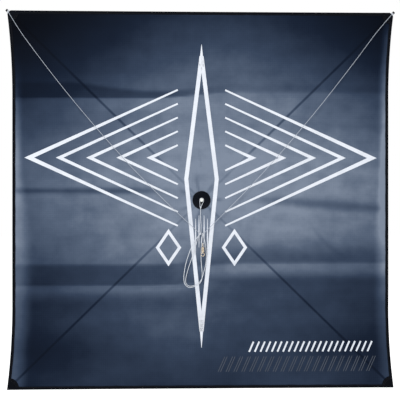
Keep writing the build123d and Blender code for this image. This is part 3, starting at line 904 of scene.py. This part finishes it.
def make_binding(side_name):
    """Tape folded over one edge of the sail, puckered by its seam and mitred at the corners."""
    upright = side_name in ("left", "right")
    sign = 1 if side_name in ("top", "right") else -1
    long_half = half_height if upright else half_width
    profile = np.array(tape_profile())
    count = int(round(2 * long_half / tape_step))
    share = np.linspace(-1, 1, count + 1)[:, None]
    inset, forward, outside = (column[None, :] for column in profile.T)
    # the tape's ends: on the mitre, or on the cut corner where that comes first
    ends = []
    for up in (-1, 1):
        cut = corner_cuts[up if upright else sign]
        ends.append(np.minimum(long_half - inset, long_half + inset - cut + 2 * cloth))
    along = np.where(share < 0, share * ends[0], share * ends[1])
    wander = 0.22 * MM * np.sin(along / 0.013 + 2 * sign) + 0.12 * MM * np.sin(along / 0.0047)
    inset = inset + wander * ease(inset, 3 * MM, 7 * MM)
    crown = 0.16 * MM * hump(inset, 2.6 * MM, 1.7 * MM)
    swell = 0.75 + 0.25 * np.sin(along / 0.021 + sign)
    lift = outside * (crown * swell - pucker(along, inset, tape_seam))
    forward = forward + np.sign(forward) * lift
    edge = (edge_x(along) if upright else edge_z(along)) - inset
    y = np.broadcast_to(sail_y - forward, along.shape)
    points = np.stack((sign * edge, y, along) if upright else (along, y, sign * edge), axis=-1)
    rows, columns = along.shape
    faces = grid_faces(rows, columns, wrap=True)
    faces.append(tuple(range(columns))[::-1])
    faces.append(tuple((rows - 1) * columns + i for i in range(columns)))
    if upright == (sign > 0):
        faces = [face[::-1] for face in faces]
    return sewn_piece(f"binding_tape_{side_name}", points.reshape(-1, 3), faces, f"binding_{side_name}")


def slab(front, back, wrap=False):
    """Points and faces of a closed slab between two grids of points; wrap joins its ends round a ring."""
    rows, columns, _ = front.shape
    points = np.concatenate((front.reshape(-1, 3), back.reshape(-1, 3)))
    front_faces = grid_faces(rows, columns, wrap)
    below = rows * columns
    faces = front_faces + numbered_from(below, [face[::-1] for face in front_faces])
    for row in (0, rows - 1):
        for column in range(columns if wrap else columns - 1):
            a, b = row * columns + column, row * columns + (column + 1) % columns
            face = (a, below + a, below + b, b)
            faces.append(face[::-1] if row else face)
    if not wrap:
        for column in (0, columns - 1):
            for row in range(rows - 1):
                a, b = row * columns + column, (row + 1) * columns + column
                face = (a, b, below + b, below + a)
                faces.append(face[::-1] if column else face)
    return points, faces


def quarter_patch(side, up, radius, seams, inner_y, facing):
    """A quarter round of strong cloth on one corner, hemmed and puckered, facing -1 front or 1 back."""
    angles = np.linspace(0, math.pi / 2, 49)[None, :]
    cut = max(corner_cuts[up] - 2 * cloth, 0.5 * MM)
    start = cut / (np.cos(angles) + np.sin(angles))
    share = np.concatenate(([0, 0.012], np.linspace(0.05, 0.93, 26), [0.955, 0.975, 0.99, 1.0]))[:, None]
    reach = start + share * (radius - start)
    flat_x = half_width + cloth - reach * np.cos(angles)
    flat_z = half_height + cloth - reach * np.sin(angles)
    x = flat_x * (edge_x(flat_z) + cloth) / (half_width + cloth)
    z = flat_z * (edge_z(flat_x) + cloth) / (half_height + cloth)
    to_arc = np.minimum(share, 1 - share) * (radius - start)
    margin = np.minimum(to_arc, reach * np.minimum(angles, math.pi / 2 - angles))
    rounded = ease(margin, -0.1 * MM, 0.5 * MM)
    thick = patch_cloth * (0.25 + 0.75 * rounded)
    hem = 0.14 * MM * hump(reach, radius - 1.6 * MM, 1.1 * MM) * rounded
    ripple = 0.1 * MM * np.sin(reach / 0.0031 + 5 * angles + side) * np.sin(2 * angles)
    thick = thick + hem + ripple * ease(margin, 0, 3 * MM)
    for seam in seams:
        thick = thick - pucker(angles * seam, reach, seam, 0.11 * MM)
    thick = np.maximum(thick, 0.1 * MM)
    outer = np.stack((side * x, inner_y + facing * thick, up * z), axis=-1)
    inner = np.stack((side * x, np.full_like(thick, inner_y), up * z), axis=-1)
    points, faces = slab(outer, inner)
    if facing * side * up > 0:
        faces = [face[::-1] for face in faces]
    return points, faces


def tunnel_shell(side, up, bore, mouth, end, back_y):
    """The cloth channel that a spar slides in: an arch over the rod, with a sewn flange each side."""
    outwards = np.array((side * math.cos(spar_angle), 0, up * math.sin(spar_angle)))
    across = np.array((-outwards[2], 0, outwards[0]))
    backwards = np.array((0, 1.0, 0))
    wall = 2 * cloth
    height = spar_y - back_y  # from the patch to the spar's line
    foot = bore + wall
    arch = np.linspace(0, math.pi, 15)
    stations = np.concatenate(([0, 0.004], np.linspace(0.015, 0.985, 60), [0.996, 1.0]))
    outer_rows = []
    inner_rows = []
    for reach in mouth + (end - mouth) * stations:
        into = min(reach - mouth, 1.2 * MM) / (1.2 * MM)
        left = min((end - reach) / (1.0 * MM), 1.0)
        closing = math.sqrt(max(0.0, 1 - (1 - left) ** 2)) if up < 0 else 1.0  # a pocket's end is sewn shut
        sag = 0.2 * MM * (1 + math.sin(reach / 0.0037 + side)) * ease(reach - mouth, 0, 4 * MM)
        sag = sag + 0.12 * MM * (1 + math.sin(reach / 0.0013 + up))
        rim = 0.18 * MM * hump(reach - mouth, 1.6 * MM, 0.9 * MM)  # the turned mouth
        crest = (bore + wall * (0.55 + 0.45 * into) + sag + rim) * (0.72 + 0.28 * closing)
        room = 0.9 * (corner_reach - reach) - 0.6 * MM  # from the spar's line to the sail's edge
        flange = max(0.25 * MM, min(4.5 * MM, room - foot))
        seam_wave = 0.09 * MM * (1 + math.cos(2 * math.pi * reach / stitch_pitch))
        edge = -foot - flange
        fold = -foot - 0.7 * flange
        seam = -foot - 0.45 * flange
        outer = [(edge, 0.12 * MM), (fold, 0.34 * MM), (seam, 0.34 * MM - seam_wave),
                 (-foot - 0.2 * flange, 0.38 * MM)]
        arch_foot = height * (0.25 + 0.75 * closing)
        outer += [(-crest * math.cos(a), arch_foot + crest * math.sin(a)) for a in arch]
        inner = [(edge, 0.0), (fold, 0.0), (seam, 0.0), (-bore, 0.02 * MM)]
        inner += [(-bore * math.cos(a), height + bore * math.sin(a)) for a in arch]
        centre = outwards * reach + backwards * back_y
        for section, rows in ((outer, outer_rows), (inner, inner_rows)):
            section += [(-sideways, out) for sideways, out in reversed(section[:4])]
            rows.append([centre + across * sideways + backwards * out for sideways, out in section])
    return slab(np.array(outer_rows), np.array(inner_rows))


def make_back_patch(corner, side, up):
    """The quarter patch behind a corner and the sleeve or pocket sewn on it, as one piece."""
    inner_y = sail_y + tape_half
    node = f"spar_{'sleeve' if up > 0 else 'pocket'}_{corner}"
    mouth = corner_reach - back_patch_radius
    bore = 2.65 * MM if up > 0 else 3.35 * MM  # a pocket is wider, for the end cap
    end = corner_reach - (8.5 * MM if up > 0 else 5.5 * MM)
    points, faces = quarter_patch(side, up, back_patch_radius, back_patch_seams, inner_y, 1)
    shell_points, shell_faces = tunnel_shell(side, up, bore, mouth, end, inner_y + patch_cloth)
    faces = faces + numbered_from(len(points), shell_faces)
    return sewn_piece(node + "_cloth", np.concatenate((points, shell_points)), faces, node)


def make_front_patch(corner, side, up):
    """The patch in front of a corner."""
    points, faces = quarter_patch(side, up, front_patch_radius, front_patch_seams, sail_y - tape_half, -1)
    return sewn_piece(f"corner_cloth_{corner}", points, faces, f"corner_patch_{corner}")


def make_centre_cloth():
    """The round of strong cloth behind the sail's middle, with a rolled rim."""
    low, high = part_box("centre_patch")
    outer_radius = high.x
    inner_radius = 4.1 * MM
    seam = 18.9 * MM
    hub_bears_to = 17 * MM  # nothing stands proud where the hub body lies on it
    angles = np.linspace(0, 2 * math.pi, 121)[:-1][None, :]
    reach = np.concatenate((np.linspace(inner_radius, outer_radius - 1.2 * MM, 16),
                            outer_radius - np.array((0.8, 0.5, 0.25, 0.08, 0.0)) * MM))[:, None]
    rounded = ease(outer_radius - reach, -0.1 * MM, 0.5 * MM)
    free = ease(reach, hub_bears_to, hub_bears_to + 0.6 * MM)
    thick = patch_cloth * (0.25 + 0.75 * rounded)
    thick = thick + free * rounded * 0.14 * MM * (1 + 0.5 * np.sin(18 * angles))
    thick = thick - pucker(angles * seam, reach, seam, 0.13 * MM)
    x = reach * np.cos(angles)
    z = reach * np.sin(angles)
    outer = np.stack((x, low.y + thick, z), axis=-1)
    inner = np.stack((x, np.full_like(x, low.y), z), axis=-1)
    points, faces = slab(outer, inner, wrap=True)
    return sewn_piece("centre_cloth", points, faces, "centre_patch")


cloth_pieces = [make_binding(side_name) for side_name in ("top", "bottom", "left", "right")]
for corner, (side, up) in corners.items():
    cloth_pieces.append(make_front_patch(corner, side, up))
    cloth_pieces.append(make_back_patch(corner, side, up))
cloth_pieces.append(make_centre_cloth())

# ---- stitching
stitch_length = 3.2 * MM
stitch_radius = 0.22 * MM
stitch_sides = 6
stitch_margin = 10 * MM  # from the ends of the sail's edges
arc_margin = 5 * MM  # from the sail's edges to a corner seam's ends


def stitches(name, lines, material):
    """Short raised threads along each line. A line is a list of (x, z), its y and the way it faces."""
    points = []
    faces = []
    for outline, y, facing in lines:
        forwards = np.array((0, facing, 0))
        stations, _ = even_points(np.array([(x, 0, z) for x, z in outline]), stitch_pitch)
        for a, b in zip(stations, stations[1:]):
            along = (b - a) / np.linalg.norm(b - a)
            across = np.array((-along[2], 0, along[0]))
            middle = (a + b) / 2 + np.array((0, y, 0))
            reach = along * stitch_length / 2
            start = len(points)
            points += [middle - reach - forwards * stitch_radius, middle + reach - forwards * stitch_radius]
            for share in (-0.55, 0.55):
                for k in range(stitch_sides):
                    angle = 2 * math.pi * k / stitch_sides
                    rim = across * math.cos(angle) + forwards * math.sin(angle)
                    points.append(middle + reach * share + rim * stitch_radius)
            for k in range(stitch_sides):
                near, near_after = start + 2 + k, start + 2 + (k + 1) % stitch_sides
                far, far_after = near + stitch_sides, near_after + stitch_sides
                faces += [(start, near_after, near), (start + 1, far, far_after),
                          (near, near_after, far_after, far)]
    piece = add_mesh(name, points, faces, material)
    return piece


def edge_line(side_name, inset):
    """Points along one edge of the sail, an inset inside it."""
    share = np.linspace(-1, 1, 41)
    if side_name in ("left", "right"):
        z = share * (half_height - 1.2 * inset - stitch_margin)
        x = edge_x(z) - inset
        return [(-a if side_name == "left" else a, b) for a, b in zip(x, z)]
    x = share * (half_width - 1.2 * inset - stitch_margin)
    z = edge_z(x) - inset
    return [(a, -b if side_name == "bottom" else b) for a, b in zip(x, z)]


def corner_arc(side, up, radius):
    """A quarter circle round a corner of the sail, short of its edges."""
    spare = math.asin(arc_margin / radius)
    angles = np.linspace(spare, math.pi / 2 - spare, 24)
    return [(side * (half_width - radius * math.cos(a)), up * (half_height - radius * math.sin(a)))
            for a in angles]


binding_low, binding_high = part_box("binding_top")
patch_front_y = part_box("corner_patch_top_left")[0].y
front_lines = []
back_lines = []
for side_name in ("top", "bottom", "left", "right"):
    front_lines.append((edge_line(side_name, tape_seam), binding_low.y, -1))
    back_lines.append((edge_line(side_name, tape_seam), binding_high.y, 1))
for side, up in corners.values():
    for seam in front_patch_seams:
        front_lines.append((corner_arc(side, up, seam), patch_front_y, -1))
    back_lines.append((corner_arc(side, up, back_patch_seams[0]), binding_high.y + patch_cloth, 1))
stitch_pieces = [stitches("stitches_front", front_lines, thread_material),
                 stitches("stitches_back", back_lines, thread_material)]

# ---- stage and light
floor_z = -0.62
floor_half = 14
softbox_size = (1.6, 1.2)


def add_floor():
    """A wide pale floor well below the kite, which hangs."""
    s = Shader("floor_paint", roughness=0.8, specular=0.2)
    soft = s.noise(s.place(), 2.0, 2.0)
    s.colour(soft, [(0.3, (0.86, 0.86, 0.86)), (0.7, (0.88, 0.88, 0.88))])
    s.surface.inputs["Emission Color"].default_value = (1, 1, 1, 1)
    s.surface.inputs["Emission Strength"].default_value = 0.5
    mesh = bpy.data.meshes.new("floor")
    square = ((-1, -1), (1, -1), (1, 1), (-1, 1))
    mesh.from_pydata([(x * floor_half, y * floor_half, floor_z) for x, y in square], [], [(0, 1, 2, 3)])
    mesh.materials.append(s.material)
    add_object("floor", mesh)


def add_softbox(name, place, power):
    """A rectangular lamp that points at the kite's middle."""
    light = bpy.data.lights.new(name, "AREA")
    light.shape = "RECTANGLE"
    light.size, light.size_y = softbox_size
    light.energy = power
    lamp = add_object(name, light)
    lamp.location = place
    lamp.rotation_euler = (-Vector(place)).to_track_quat("-Z", "Y").to_euler()


add_floor()
add_softbox("key", (-0.9, -2.2, 2.3), 60)
add_softbox("rear", (1.2, 2.4, 2.0), 45)


def add_sky(fill):
    """A white studio all round. It shows as plain white, and lights the kite at the fill's strength."""
    world = bpy.data.worlds.new("studio")
    bpy.context.scene.world = world
    world.use_nodes = True
    nodes = world.node_tree.nodes
    links = world.node_tree.links
    seen = nodes.new("ShaderNodeLightPath").outputs["Is Camera Ray"]
    strength = nodes.new("ShaderNodeMapRange")
    strength.inputs["To Min"].default_value = fill
    links.new(seen, strength.inputs["Value"])
    links.new(strength.outputs["Result"], nodes["Background"].inputs["Strength"])
    nodes["Background"].inputs["Color"].default_value = (1, 1, 1, 1)


add_sky(0.6)
bpy.context.scene.view_settings.view_transform = "Standard"
